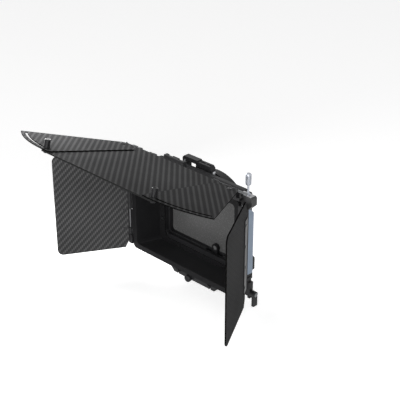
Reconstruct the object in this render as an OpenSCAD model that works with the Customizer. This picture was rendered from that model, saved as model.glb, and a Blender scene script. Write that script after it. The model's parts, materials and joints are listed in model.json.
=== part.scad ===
// Matte box for film and video lenses.
// A shallow hood carries a fan-winged top flag and two side flags. Behind it a filter stage
// holds one drop-in tray, a split ring clamps on the lens and a swing arm carries the rods.
// Origin: on the optical axis at the rear face of the lens ring. +Y points to the lens and
// camera, -Y to the subject, +X is the side with the rod arm's hinge, +Z is up.

/* [Filter] */
// Width of the filter glass
filter_w = 143.5; // [138:0.5:146]
// Height of the filter glass
filter_h = 101.6; // [98:0.1:103]
// Thickness of the filter glass
filter_t = 4; // [2:0.5:5]

/* [Hood] */
// Outer width of the hood at its mouth
hood_w = 208; // [204:1:216]
// Outer height of the hood at its mouth
hood_h = 146; // [144:1:154]
// Depth of the hood from its mouth to its rear face
hood_depth = 38; // [30:1:60]
// Inner width of the hood at its rear end
throat_w = 168; // [167:1:180]
// Width of the flat rim around the mouth
rim_band = 8; // [7:0.5:9]
// Thickness of the rim from front to back
rim_t = 5; // [4:0.5:7]
// Wall thickness of the hood
hood_wall = 2.4; // [1.6:0.2:3.4]
// Radius of the hood's outer corners
hood_corner_r = 8; // [5:0.5:10]

/* [Filter stage] */
// Border of the filter tray beside the glass
tray_side = 5; // [4.5:0.5:7]
// Border of the filter tray under the glass
tray_foot = 13; // [13:0.5:15]
// Border of the filter tray above the glass
tray_head = 7; // [5:0.5:8]
// Thickness of the filter tray
tray_t = 11.4; // [10.8:0.2:14]
// Running play of the tray in its slot, on every side
tray_play = 0.3; // [0.2:0.05:0.4]
// Thickness of the mask plate in front of the tray
mask_t = 5.5; // [3:0.5:6]
// Thickness of the side rails that guide the tray
rail_t = 3; // [2.5:0.5:4]
// Thickness of the floor under the tray
floor_t = 4.4; // [3:0.2:5]
// Thickness of the rear plate
rear_t = 4; // [3.5:0.5:6]
// Width of the rear plate's arch outside the lens bore
rear_band = 6; // [5.5:0.5:8]

/* [Lens ring] */
// Bore of the lens ring
lens_d = 114; // [110:0.5:115]
// Wall of the lens ring
ring_wall = 4; // [3.5:0.25:5]
// Length of the lens ring along the optical axis
ring_len = 10; // [9:0.5:16]

/* [Top flag] */
// Height of the top flag's hinge axis above the top of the hood
top_hinge_rise = 13.4; // [12:0.1:20]
// Distance of the top flag's hinge axis behind the mouth
top_hinge_back = 1.6; // [1:0.1:3]
// Resting angle of the top flag above level
top_tilt = 14.4; // [5:0.1:30]
// Overhang of the top flag's centre plate past the hood, on each side
top_flag_over = 0; // [-2:0.5:3]
// Length of the top flag from its hinge axis to its front edge
top_flag_len = 158.4; // [156:0.2:180]
// Thickness of the top flag's centre plate
flag_t = 2; // [1.5:0.1:2.4]
// Thickness of the fan wings
wing_t = 1.6; // [1.2:0.1:2.2]
// Distance of the fan wings' front arc behind the top flag's front edge
wing_back = 0.4; // [0:0.1:7]
// Angle of the fan wings from straight ahead to their tips
wing_angle = 35.6; // [30:0.2:40]
// Distance of a wing's inner edge inside its pivot, at the front
wing_lap_front = 13; // [8:0.5:20]
// Distance of a wing's inner edge inside its pivot, at the rear
wing_lap_rear = 27; // [20:0.5:29]
// Distance of the wing pivots from the side edges of the centre plate
wing_pivot_inset = 2.7; // [2.7:0.1:6]

/* [Side flags] */
// Length of the side flags
side_flag_len = 107; // [90:1:109]
// Height of the side flags
side_flag_h = 156; // [140:1:158]
// Flare of the side flags, outward from straight ahead
side_flare = 30; // [10:1:45]
// Corner radius of the side flags
side_corner_r = 9; // [4:0.5:14]

/* [Rod clamp] */
// Diameter of the support rods
rod_d = 15; // [14.5:0.1:15.5]
// Spacing of the two rods
rod_spacing = 60; // [58:0.5:62]
// Drop of the rods below the filter's lower edge
rod_below_filter = 34.2; // [34:0.1:40]
// Length of the rod clamp along the rods
rod_clamp_len = 26; // [22:1:28]

/* [Fasteners] */
// Radius of the hinge pins
pin_r = 1.5; // [1.3:0.1:1.7]
// Radial running play of pins in their knuckles
pin_play = 0.05; // [0.02:0.01:0.08]

/* [Hidden] */

$fn = 64;
// Number of sides where hulls round the hood
hull_fn = 32;
// Overlap that makes cuts pass right through
cut = 1;
// Gap between the end faces of parts that turn
end_gap = 0.3;

// Places along the optical axis, from the lens towards the subject
ring_front = -ring_len;
rear_front = ring_front - rear_t;
slot_d = tray_t + 2 * tray_play;
slot_front = rear_front - slot_d;
mask_front = slot_front - mask_t;
mouth_y = mask_front - hood_depth;

// Hood
mouth_w = hood_w - 2 * rim_band;
mouth_h = hood_h - 2 * rim_band;
mask_window_w = filter_w + 6;
inner_corner_r = hood_corner_r - 3;
lip_w = mask_window_w;
lip_h = mouth_h - 12;
lip_r = 10;
shell_h = mouth_h + 2 * hood_wall;
hood_top = hood_h / 2;

// Filter tray and stage
tray_w = filter_w + 2 * tray_side;
tray_top = filter_h / 2 + tray_head;
tray_bottom = -filter_h / 2 - tray_foot;
stage_w = tray_w + 2 * (tray_play + rail_t);
stage_bottom = tray_bottom - floor_t;
mask_w = stage_w + 3;
mask_window_h = filter_h + 4;
mask_window_r = 6;
mask_corner_r = 5;
tray_front = slot_front + tray_play;
tray_rear = tray_front + tray_t;
tray_lip = 1.2;
tray_lip_w = 2;
glass_play = 0.3;
glass_rear = tray_rear - tray_lip;
glass_chamfer = 3;
rail_top = 36;
rail_chamfer = 7;
rail_bottom = tray_bottom;

// Screws that hold the hood to the mask plate
hood_screw_r = 1.4;
hood_screw_head_r = 2.4;
hood_screw_head_h = 1.2;
hood_screw_side_x = mask_w / 2 - 3;
hood_screw_side_z = 30;
hood_screw_top_x = 45;
hood_screw_top_z = (lip_h + mouth_h) / 4;

// Filter lock: a turn button in the foot of the tray
lock_x = 18;
lock_z = -filter_h / 2 - 5.5;
lock_hub_r = 4.4;
lock_lobe_r = 5.6;
lock_reach = 11;
lock_t = 5.2;
lock_play = 0.3;
lock_front = tray_front + 0.5;
lock_rear = lock_front + lock_t;
lock_screw_r = 1.4;
lock_screw_head_r = 2.8;
lock_screw_head_h = 0.4;
lock_screw_depth = 3;

// Handle and latch on top of the tray
handle_depth = 9;
handle_y = tray_front + (tray_t - handle_depth) / 2;
handle_left = -46;
handle_post_w = 9;
handle_rise = 19;
handle_top = tray_top + handle_rise;
handle_bar_h = 6;
handle_bar_right = -16.7;
latch_left = -20;
latch_right = 9;
latch_rise = 17.5;
latch_top = tray_top + latch_rise;
latch_slots_x = [-13.5, -2.5];
latch_slot_l = 8.5;
latch_slot_w = 3;
latch_slot_depth = 4;
handle_screw_r = 1.8;
handle_screw_h = 0.8;
handle_screw_low = tray_top + 4;
handle_screw_high = tray_top + 13;
button_w = 3;
button_h = 8.5;
button_z = tray_top + 1.2;
button_travel = 2;
button_play = 0.2;

// Rear plate and lens ring
lens_r = lens_d / 2;
rear_open_r = lens_r - 3;
rear_r = lens_r + rear_band;
ring_r = lens_r + ring_wall;
seal_t = 1;
seal_sink = 2;
seat_r = lens_r + 0.75;
seal_r = seat_r - 0.1;
seal_open_r = rear_open_r - 2;
rear_foot_top = -42;
rear_shoulder_x = rear_r - 12;
rear_shoulder_z = rear_foot_top + 18;
rear_foot_chamfer = 9;
ring_gap = 2.4;
ring_lug_l = 11;
ring_lug_t = 6;
ring_screw_pcr = lens_r + ring_wall / 2 + 0.25;
ring_screw_r = 0.9;
ring_screw_head_r = 1.6;
ring_screw_head_h = 1.2;
ring_screw_depth = 5;
clamp_screw_r = 2;
clamp_screw_x = -(ring_r + ring_lug_l / 2 + 0.5);
clamp_knob_r = 4.6;
clamp_knob_h = 8;
clamp_knob_ribs = 16;

// Top hinge
top_hinge_z = hood_top + top_hinge_rise;
top_hinge_y = mouth_y + top_hinge_back;
knuckle_r = 3.2;
top_knuckle_r = 2.4;
base_t = 4;
base_d = 10;
base_w = hood_w;
inner_post_in = 48;
inner_post_x = hood_w / 2 - inner_post_in;
inner_post_w = 7;
outer_post_x = hood_w / 2 - 8.5;
outer_post_w = 3;
leaf_knuckle_in = 21;
leaf_knuckle_x = hood_w / 2 - leaf_knuckle_in;
leaf_knuckle_w = 4;
leaf_inner_x = inner_post_x + inner_post_w + end_gap;
leaf_inner_w = 2;
hinge_pin_start = inner_post_x - 2;
hinge_pin_end = hood_w / 2 + 9;
hinge_pin_head_r = 2.4;
hinge_pin_head_h = 2;
tension_left = -42;
tension_right = -4;
tension_front = 4.4;
tension_d = 6;
tension_top = 4.6;

// End blocks that grip the hood's upper corners
block_front = 7.2;
block_d = 10;
block_w = 15;
block_drop = 11;
block_top = 7;
block_arm_h = 6;
block_step = 7;

// Release plunger
plunger_out = 4.2;
plunger_back = 12 - block_front;
plunger_stem_r = 1.4;
plunger_stem_h = 13.5;
plunger_head_r = 3.9;
plunger_head_h = 17;
plunger_ribs = 18;
plunger_rib_r = 0.45;
plunger_sink = 6;
plunger_collar_r = 3;
plunger_collar_h = 1.6;

// Top flag, in its own frame: origin on the hinge axis, -Y to the front edge, +Z out of it
top_flag_w = hood_w + 2 * top_flag_over;
wing_pivots_w = top_flag_w - 2 * wing_pivot_inset;
plate_start = 3;
plate_lift = 1.4;
plate_corner_r = 3;
wing_pivot_s = 19;
wing_r = top_flag_len - wing_pivot_s - wing_back;
wing_eye_r = 11.5;
wing_heel_r = 4;
wing_slot_r = wing_r - 7;
wing_slot_half = 1.7;
wing_slot_angle = wing_angle - 2.3;
wing_stud_r = 1.5;
wing_pivot_r = 1.6;
wing_head_r = 3.2;
wing_head_h = 1.4;
wing_nut_r = 3.4;
wing_nut_h = 2.6;
wing_knob_r = 3.9;
wing_knob_h = 12;
wing_knob_ribs = 16;
wing_knob_gap = 0.2;
wing_stud_reach = 8;
top_leaf_len = 14;
top_leaf_t = 1.2;

// Side flags: a flag's plate lies outside its hinge axis by flag_offset
flag_gap = 0.4;
flag_offset = knuckle_r + flag_gap + flag_t / 2;
flag_axis_out = 5.7;
flag_axis_x = hood_w / 2 + flag_axis_out;
flag_axis_back = 1.15;
flag_axis_y = mouth_y + flag_axis_back;
bracket_h = 14;
bracket_gap = 0.3;
flag_bracket_in = 19;
flag_bracket_z = hood_h / 2 - flag_bracket_in;
flag_leaf_half = flag_bracket_z - bracket_gap;
// Stretches of the side flag leaf's knuckles, bare pin between them
flag_knuckles = [[-flag_leaf_half, -flag_leaf_half + 10], [-13, flag_leaf_half]];
flag_leaf_len = 14;
flag_leaf_t = 1.2;
flag_web_t = 1.8;
flag_web_in = 2;
flag_web_out = flag_offset + flag_t / 2 + 0.6;
side_plate_start = flag_web_t + 0.2;
rivet_r = 2;
rivet_h = 0.7;
rivet_tail_r = 1.3;
rivet_tail_h = 0.4;
rivet_count = 4;
rivet_inset = 8;
rivet_back = 9;
flag_pin_head_r = 2.4;
flag_pin_head_h = 1.5;
hinge_chamfer = 11;

// Swing arm and rod clamp
rod_r = rod_d / 2;
rod_drop = filter_h / 2 + rod_below_filter;
clamp_wall = 8.5;
clamp_w = rod_spacing + 2 * (rod_r + clamp_wall);
clamp_top = -rod_drop + rod_r + 1.5;
clamp_bottom = -rod_drop - rod_r - 4.5;
clamp_back = 21;
clamp_front = mouth_y + clamp_back;
clamp_rear = clamp_front + rod_clamp_len;
clamp_slit = 2;
clamp_chamfer = 6;
clamp_pocket_w = 20;
clamp_pocket_h = 6;
arm_t = 7;
arm_rod_play = 0.4;
arm_top = clamp_top;
arm_bottom = clamp_bottom - 1;
swing_x = stage_w / 2 - 4;
swing_y = clamp_rear + arm_t / 2;
swing_r = 5;
swing_pin_r = 2;
ear_t = 4;
ear_top = stage_bottom;
ear_bottom = ear_top - ear_t;
arm_eye_top = ear_bottom - end_gap;
arm_eye_bottom = -rod_drop - 3;
knob_x = -9;
knob_z = clamp_bottom + 2.5;
knob_r = 5.5;
knob_h = 5;
knob_bore_r = 2;
knob_gap = 0.2;
knob_ribs = 18;
lever_y = swing_y;
lever_z = -rod_drop - 8;
lever_plate_x = swing_x + 7;
lever_plate_t = 4;
lever_plate_half = 8;
lever_hub_r = 4.6;
lever_hub_l = 8;
lever_cap_r = 3;
lever_cap_h = 1;
lever_cap_gap = 0.2;
lever_x0 = lever_plate_x + end_gap;
lever_x1 = lever_x0 + lever_hub_l;
lever_screw_r = 2;
lever_len = 18;
lever_w = 8;
lever_t = 4;

black_anodised = [0.10, 0.10, 0.11];
black_plastic = [0.13, 0.13, 0.14];
carbon = [0.22, 0.22, 0.23];
carbon_light = [0.27, 0.27, 0.28];
steel = [0.72, 0.74, 0.77];
rubber = [0.05, 0.05, 0.05];
blue_grey = [0.46, 0.52, 0.62];
smoke = [0.30, 0.31, 0.32, 0.85];

// A rectangle with round corners, centred in the X-Z plane, standing from y0 to y1
module slab(w, h, r, y0, y1) {
    translate([0, y1, 0])
        rotate([90, 0, 0])
            linear_extrude(y1 - y0)
                rounded_rect(w, h, r);
}

// A centred rectangle with corner arcs of radius r
module rounded_rect(w, h, r) {
    union() {
        square([w - 2 * r, h], center = true);
        square([w, h - 2 * r], center = true);
        for (x = [-1, 1], z = [-1, 1])
            translate([x * (w / 2 - r), z * (h / 2 - r)])
                circle(r);
    }
}

// A cylinder along +Y from y0 to y1 at x, z
module rod_y(r, x, z, y0, y1) {
    translate([x, y0, z])
        rotate([-90, 0, 0])
            cylinder(r = r, h = y1 - y0);
}

// A cylinder along +X from x0 to x1 at y, z
module rod_x(r, y, z, x0, x1) {
    translate([x0, y, z])
        rotate([0, 90, 0])
            cylinder(r = r, h = x1 - x0);
}

// A block between two corners
module block(low, high) {
    translate(low)
        cube(high - low);
}

// A knob along +Z with straight knurling round it and a round step at each end
module ribbed_knob(r, h, ribs, rib_r, end_step) {
    turn = 180 / ribs;
    cylinder(r = r - end_step, h = h);
    translate([0, 0, end_step])
        linear_extrude(h - 2 * end_step)
            polygon([for (i = [0 : 2 * ribs - 1])
                     (r - (i % 2) * rib_r) * [cos(i * turn), sin(i * turn)]]);
}

// Mirrors its children to the side given by -1 or 1
module on_side(side) {
    if (side < 0)
        mirror([1, 0, 0]) children();
    else
        children();
}

module hood_shell() {
    rim_rear = mouth_y + rim_t;
    lip_front = mask_front - hood_wall;
    color(black_plastic)
    difference() {
        union() {
            slab(hood_w, hood_h, hood_corner_r, mouth_y, rim_rear);
            hull() {
                slab(mouth_w + 2 * hood_wall, shell_h, inner_corner_r + hood_wall,
                     mouth_y, mouth_y + 1, $fn = hull_fn);
                slab(throat_w + 2 * hood_wall, shell_h, inner_corner_r + hood_wall,
                     mask_front - 1, mask_front, $fn = hull_fn);
            }
        }
        hull() {
            slab(mouth_w, mouth_h, inner_corner_r, mouth_y - cut, mouth_y, $fn = hull_fn);
            slab(throat_w, mouth_h, inner_corner_r, lip_front - 1, lip_front, $fn = hull_fn);
        }
        slab(lip_w, lip_h, lip_r, lip_front - cut, mask_front + cut);
        hood_screw_places()
            rod_y(hood_screw_r, 0, 0, lip_front - cut, mask_front + cut);
    }
}

// The eight screw places on the hood's rear lip
module hood_screw_places() {
    for (x = [-1, 1], z = [-1, 1]) {
        translate([x * hood_screw_side_x, 0, z * hood_screw_side_z])
            children();
        translate([x * hood_screw_top_x, 0, z * hood_screw_top_z])
            children();
    }
}

module hood_screws() {
    lip_front = mask_front - hood_wall;
    color(steel)
    hood_screw_places() {
        difference() {
            rod_y(hood_screw_head_r, 0, 0, lip_front - hood_screw_head_h, lip_front);
            rod_y(hood_screw_head_r / 2, 0, 0, lip_front - hood_screw_head_h - cut,
                  lip_front - hood_screw_head_h / 2, $fn = 6);
        }
        rod_y(hood_screw_r - 0.1, 0, 0, lip_front, mask_front + mask_t / 2);
    }
}

module front_mask() {
    color(black_anodised)
    difference() {
        slab(mask_w, shell_h, mask_corner_r, mask_front, slot_front);
        slab(mask_window_w, mask_window_h, mask_window_r, mask_front - cut, slot_front + cut);
        hood_screw_places()
            rod_y(hood_screw_r, 0, 0, mask_front - cut, slot_front + cut);
    }
}

// A side rail: guides the tray, with a sloped lead-in at its upper end
module tray_rail(side) {
    rail_inner = tray_w / 2 + tray_play;
    color(blue_grey)
    on_side(side)
        translate([rail_inner, 0, 0])
            rotate([90, 0, 90])
                linear_extrude(rail_t)
                    polygon([[slot_front, rail_bottom], [rear_front, rail_bottom],
                             [rear_front, rail_top - rail_chamfer],
                             [rear_front - rail_chamfer, rail_top], [slot_front, rail_top]]);
}

module stage_floor() {
    drain_w = 24;
    color(black_anodised)
    difference() {
        block([-stage_w / 2, slot_front, stage_bottom], [stage_w / 2, rear_front, tray_bottom]);
        for (x = [-1, 0, 1])
            block([x * stage_w / 3 - drain_w / 2, slot_front + 3, stage_bottom - cut],
                  [x * stage_w / 3 + drain_w / 2, rear_front - 3, stage_bottom + 1.6]);
    }
}

// Rear plate: an arch around the lens opening on a wide foot with sloped shoulders
module rear_plate() {
    half = stage_w / 2;
    color(black_anodised)
    difference() {
        union() {
            rod_y(rear_r, 0, 0, rear_front, ring_front);
            translate([0, ring_front, 0])
                rotate([90, 0, 0])
                    linear_extrude(rear_t)
                        polygon([[-half + rear_foot_chamfer, stage_bottom],
                                 [half - rear_foot_chamfer, stage_bottom],
                                 [half, stage_bottom + rear_foot_chamfer],
                                 [half, rear_foot_top], [rear_shoulder_x, rear_shoulder_z],
                                 [-rear_shoulder_x, rear_shoulder_z], [-half, rear_foot_top],
                                 [-half, stage_bottom + rear_foot_chamfer]]);
        }
        rod_y(rear_open_r, 0, 0, rear_front - cut, ring_front + cut, $fn = 128);
        rod_y(seat_r, 0, 0, ring_front - seal_sink, ring_front + cut, $fn = 128);
        ring_screw_places() {
            rod_y(ring_screw_r + 0.05, 0, 0, rear_front - cut, ring_front + cut);
            rod_y(ring_screw_head_r + 0.1, 0, 0, rear_front - cut, rear_front + ring_screw_head_h);
        }
    }
}

module seal_ring() {
    seal_front = ring_front - seal_sink;
    color(rubber)
    difference() {
        rod_y(seal_r, 0, 0, seal_front, seal_front + seal_t, $fn = 128);
        rod_y(seal_open_r, 0, 0, seal_front - cut, seal_front + seal_t + cut, $fn = 128);
    }
}

// Split ring with two lugs, drawn together by the clamp screw
module lens_ring() {
    lug_end = -(ring_r + ring_lug_l);
    color(black_anodised)
    difference() {
        union() {
            rod_y(ring_r, 0, 0, ring_front, 0, $fn = 128);
            block([lug_end, ring_front, -ring_gap / 2 - ring_lug_t],
                  [-ring_r + 2, 0, ring_gap / 2 + ring_lug_t]);
        }
        rod_y(lens_r, 0, 0, ring_front - cut, cut, $fn = 128);
        block([lug_end - cut, ring_front - cut, -ring_gap / 2],
              [-lens_r + ring_wall, cut, ring_gap / 2]);
        translate([clamp_screw_x, ring_front / 2, -ring_lug_t - ring_gap])
            cylinder(r = clamp_screw_r + pin_play, h = 2 * (ring_lug_t + ring_gap));
        ring_screw_places()
            rod_y(ring_screw_r + 0.05, 0, 0, ring_front - cut, ring_front + ring_screw_depth);
        for (z = [-1, 1])
            translate([lug_end, ring_front - cut, z * (ring_gap / 2 + ring_lug_t)])
                rotate([-90, 45, 0])
                    linear_extrude(ring_len + 2 * cut)
                        square(3.2, center = true);
    }
}

// Four screws hold the lens ring to the rear plate
module ring_screw_places() {
    for (a = [45 : 90 : 315])
        translate([ring_screw_pcr * cos(a), 0, ring_screw_pcr * sin(a)])
            children();
}

module ring_screws() {
    color(steel)
    ring_screw_places() {
        rod_y(ring_screw_head_r, 0, 0, rear_front + 0.1, rear_front + ring_screw_head_h);
        rod_y(ring_screw_r, 0, 0, rear_front + ring_screw_head_h, ring_front + ring_screw_depth - 0.5);
    }
}

module ring_clamp_screw() {
    lug_half = ring_gap / 2 + ring_lug_t;
    color(black_anodised)
    translate([clamp_screw_x, ring_front / 2, -lug_half]) {
        cylinder(r = clamp_screw_r, h = 2 * lug_half + 2);
        translate([0, 0, -clamp_knob_h - 0.3])
            ribbed_knob(clamp_knob_r, clamp_knob_h, clamp_knob_ribs, 0.5, 0.8);
        translate([0, 0, -0.4])
            cylinder(r = clamp_screw_r, h = 0.5);
    }
}

module filter_tray() {
    tray_h = tray_top - tray_bottom;
    mid_z = (tray_top + tray_bottom) / 2;
    pocket_w = filter_w + 2 * glass_play;
    pocket_h = filter_h + 2 * glass_play;
    window_w = filter_w - 2 * tray_lip_w;
    window_h = filter_h - 2 * tray_lip_w;
    lock_sweep = lock_reach + lock_lobe_r + lock_play;
    color(black_anodised)
    difference() {
        translate([0, 0, mid_z])
            slab(tray_w, tray_h, 2, tray_front, tray_rear);
        slab(pocket_w, pocket_h, 1, tray_front - cut, glass_rear);
        slab(window_w, window_h, 3, glass_rear - cut, tray_rear + cut);
        intersection() {
            rod_y(lock_sweep, lock_x, lock_z, tray_front - cut, lock_rear + 0.2);
            block([lock_x - lock_sweep, tray_front - cut, lock_z - lock_lobe_r - lock_play],
                  [lock_x + lock_sweep, lock_rear + 0.2, 0]);
        }
        rod_y(lock_screw_r + pin_play, lock_x, lock_z, lock_rear - cut,
              lock_rear + lock_screw_depth);
    }
}

module filter_glass() {
    w = filter_w / 2;
    h = filter_h / 2;
    c = glass_chamfer;
    color(smoke)
    translate([0, glass_rear, 0])
        rotate([90, 0, 0])
            linear_extrude(filter_t)
                polygon([[-w + c, -h], [w - c, -h], [w, -h + c], [w, h - c], [w - c, h],
                         [-w + c, h], [-w, h - c], [-w, -h + c]]);
}

// Turn button: its lobe stands in front of the glass and turns aside to free it
module filter_lock() {
    color(black_plastic)
    translate([lock_x, 0, lock_z])
        difference() {
            union() {
                rod_y(lock_hub_r, 0, 0, lock_front, lock_rear);
                rod_y(lock_lobe_r, 0, lock_reach, lock_front, lock_rear - 0.6);
                translate([0, lock_rear - 0.6, 0])
                    rotate([90, 0, 0])
                        linear_extrude(lock_t - 0.6)
                            polygon([[-lock_hub_r, 0], [lock_hub_r, 0],
                                     [lock_lobe_r - 0.2, lock_reach - 1],
                                     [-lock_lobe_r + 0.2, lock_reach - 1]]);
            }
            rod_y(lock_screw_r + pin_play, 0, 0, lock_front - cut, lock_rear + cut);
            rod_y(lock_lobe_r - 2.2, 0, lock_reach, lock_front - cut, lock_front + 0.8);
        }
}

module filter_lock_screw() {
    color(steel)
    translate([lock_x, 0, lock_z]) {
        rod_y(lock_screw_r, 0, 0, lock_front, lock_rear + lock_screw_depth - 0.2);
        rod_y(lock_screw_head_r, 0, 0, lock_front - lock_screw_head_h, lock_front);
    }
}

// Loop handle with the latch housing at its right end
module tray_handle() {
    y0 = handle_y;
    y1 = handle_y + handle_depth;
    post_right = handle_left + handle_post_w;
    button_hole = button_travel + button_w;
    color(black_anodised)
    difference() {
        union() {
            block([handle_left, y0, tray_top], [post_right, y1, handle_top]);
            block([handle_left, y0, handle_top - handle_bar_h], [handle_bar_right, y1, handle_top]);
            block([latch_left, y0, tray_top], [latch_right, y1, latch_top]);
        }
        for (x = latch_slots_x)
            block([x, y0 + latch_slot_w, latch_top - latch_slot_depth],
                  [x + latch_slot_l, y0 + 2 * latch_slot_w, handle_top + cut]);
        block([latch_right - button_hole, y0 + 2 - button_play, button_z - button_play],
              [latch_right + cut, y1 - 2 + button_play, button_z + button_h + button_play]);
        translate([handle_left, y0 - cut, handle_top])
            rotate([-90, 45, 0])
                linear_extrude(handle_depth + 2 * cut)
                    square(4, center = true);
        translate([latch_right, y0 - cut, latch_top])
            rotate([-90, 45, 0])
                linear_extrude(handle_depth + 2 * cut)
                    square(4, center = true);
    }
}

module handle_screws() {
    x = handle_left + handle_post_w - 2 * handle_screw_r;
    color(steel)
    for (z = [handle_screw_low, handle_screw_high])
        difference() {
            rod_y(handle_screw_r, x, z, handle_y - handle_screw_h, handle_y);
            rod_y(handle_screw_r / 2, x, z, handle_y - handle_screw_h - cut,
                  handle_y - handle_screw_h / 2, $fn = 6);
        }
}

module tray_latch() {
    color(steel)
    block([latch_right - button_w, handle_y + 2, button_z],
          [latch_right + button_travel, handle_y + handle_depth - 2, button_z + button_h]);
}

// Crossbar on the hood with posts that hold the hinge pins
module top_hinge_base() {
    post_front = 1.9;
    post_back = 5;
    color(black_anodised)
    difference() {
        union() {
            block([-base_w / 2, mouth_y, hood_top], [base_w / 2, mouth_y + base_d, hood_top + base_t]);
            for (side = [-1, 1])
                on_side(side)
                    for (post = [[inner_post_x, inner_post_w], [outer_post_x, outer_post_w]]) {
                        block([post[0], top_hinge_y - post_front, hood_top],
                              [post[0] + post[1], top_hinge_y + post_back, top_hinge_z]);
                        rod_x(top_knuckle_r, top_hinge_y, top_hinge_z, post[0], post[0] + post[1]);
                    }
            block([tension_left, top_hinge_y + tension_front, hood_top],
                  [tension_right, top_hinge_y + tension_front + tension_d,
                   top_hinge_z + tension_top]);
        }
        for (side = [-1, 1])
            on_side(side)
                rod_x(pin_r + pin_play, top_hinge_y, top_hinge_z, inner_post_x - cut,
                      base_w / 2 + cut);
        for (x = [tension_left + 9, tension_right - 9])
            block([x - 4, top_hinge_y + tension_front + 2, top_hinge_z + tension_top - 1.5],
                  [x + 4, top_hinge_y + tension_front + tension_d + cut,
                   top_hinge_z + tension_top + cut]);
    }
}

module top_hinge_pins() {
    color(steel)
    for (side = [-1, 1])
        on_side(side) {
            rod_x(pin_r, top_hinge_y, top_hinge_z, hinge_pin_start, hinge_pin_end);
            rod_x(hinge_pin_head_r, top_hinge_y, top_hinge_z, hinge_pin_end,
                  hinge_pin_end + hinge_pin_head_h);
        }
}

// L-shaped end block of the hinge base: its arm lies on the hood, its leg hangs beside it
module hinge_end_block(side) {
    x0 = hood_w / 2;
    y0 = mouth_y + block_front;
    color(black_anodised)
    on_side(side)
        difference() {
            union() {
                block([x0, y0, hood_top - block_drop], [x0 + block_w, y0 + block_d, hood_top + block_top]);
                block([x0 - block_step, mouth_y + base_d, hood_top],
                      [x0, y0 + block_d, hood_top + block_top]);
            }
            translate([x0 + plunger_out, y0 + plunger_back, hood_top - block_drop + 4])
                cylinder(r = plunger_stem_r + pin_play, h = block_drop + block_top);
            translate([x0 + block_w, y0 - cut, hood_top - block_drop])
                rotate([-90, 45, 0])
                    linear_extrude(block_d + 2 * cut)
                        square(8, center = true);
            translate([x0 + block_w, y0 - cut, hood_top + block_top])
                rotate([-90, 45, 0])
                    linear_extrude(block_d + 2 * cut)
                        square(3, center = true);
        }
}

module release_plunger() {
    x = hood_w / 2 + plunger_out;
    y = mouth_y + block_front + plunger_back;
    top = hood_top + block_top;
    color(steel)
    translate([x, y, top]) {
        translate([0, 0, -plunger_sink])
            cylinder(r = plunger_stem_r, h = plunger_sink + plunger_stem_h + 1);
        translate([0, 0, 0.1])
            cylinder(r = plunger_collar_r, h = plunger_collar_h);
        translate([0, 0, plunger_stem_h])
            ribbed_knob(plunger_head_r, plunger_head_h, plunger_ribs, plunger_rib_r, 0.9);
    }
}

// Puts its children in the top flag's frame
module in_top_flag() {
    translate([0, top_hinge_y, top_hinge_z])
        rotate([-top_tilt, 0, 0])
            children();
}

// The same frame raised to the plate's middle, which lies above the hinge axis
module on_top_plate() {
    in_top_flag()
        translate([0, 0, plate_lift])
            children();
}

module top_flag_plate() {
    mid = -(plate_start + top_flag_len) / 2;
    color(carbon)
    on_top_plate()
        difference() {
            translate([0, mid, -flag_t / 2])
                linear_extrude(flag_t)
                    rounded_rect(top_flag_w, top_flag_len - plate_start, plate_corner_r);
            for (side = [-1, 1])
                translate([side * wing_pivots_w / 2, -wing_pivot_s, -flag_t]) {
                    cylinder(r = wing_pivot_r + 0.05, h = 2 * flag_t);
                    translate([0, -wing_slot_r, 0])
                        cylinder(r = wing_stud_r + 0.05, h = 2 * flag_t);
                }
        }
}

// Aluminium edge strip under the plate, with the knuckles that turn on the pins
module top_flag_leaf() {
    leaf_top = plate_lift - flag_t / 2;
    color(black_anodised)
    in_top_flag()
        difference() {
            union() {
                for (side = [-1, 1])
                    on_side(side)
                        for (k = [[leaf_inner_x, leaf_inner_w], [leaf_knuckle_x, leaf_knuckle_w]]) {
                            rod_x(top_knuckle_r, 0, 0, k[0], k[0] + k[1]);
                            block([k[0], -plate_start - 2, -top_knuckle_r],
                                  [k[0] + k[1], 0, leaf_top]);
                        }
                block([-leaf_knuckle_x - leaf_knuckle_w, -plate_start - top_leaf_len,
                       leaf_top - top_leaf_t],
                      [leaf_knuckle_x + leaf_knuckle_w, -plate_start, leaf_top]);
            }
            for (side = [-1, 1])
                on_side(side)
                    rod_x(pin_r + pin_play, 0, 0, leaf_inner_x - cut, base_w / 2);
        }
}

// A point of the wing's outline at an angle from straight ahead, in the right wing's frame
function wing_point(r, a) = [r * sin(a), -r * cos(a)];

// Right wing's outline: an arc at the front, an eye round the pivot, and a heel at the inner rear
// corner. Straight sides join them, the one from eye to heel along their common tangent.
module wing_outline() {
    steps = 24;
    inner = -asin(wing_lap_front / wing_r);
    heel = [wing_heel_r - wing_lap_rear, -wing_heel_r];
    tangent = 360 + atan2(heel.y, heel.x) - acos((wing_eye_r - wing_heel_r) / norm(heel));
    heel_end = 180 + atan2(wing_lap_rear - wing_lap_front, wing_r);
    arc = [for (i = [0 : steps]) wing_point(wing_r, inner + (wing_angle - inner) * i / steps)];
    eye = [for (i = [0 : steps])
           wing_point(wing_eye_r, 90 + wing_angle + (tangent - wing_angle) * i / steps)];
    round_heel = [for (i = [0 : steps / 2])
                  heel + wing_point(wing_heel_r, 90 + tangent + (heel_end - tangent) * 2 * i / steps)];
    polygon(concat(arc, eye, round_heel));
}

// Arc slot, centred on the pivot, from straight ahead to near the tip
module wing_slot() {
    rotate([0, 0, -90])
        rotate_extrude(angle = wing_slot_angle, $fn = 180)
            translate([wing_slot_r - wing_slot_half, -cut])
                square([2 * wing_slot_half, wing_t + 2 * cut]);
    for (a = [0, wing_slot_angle])
        translate(concat(wing_point(wing_slot_r, a), [-cut]))
            cylinder(r = wing_slot_half, h = wing_t + 2 * cut);
}

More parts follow.
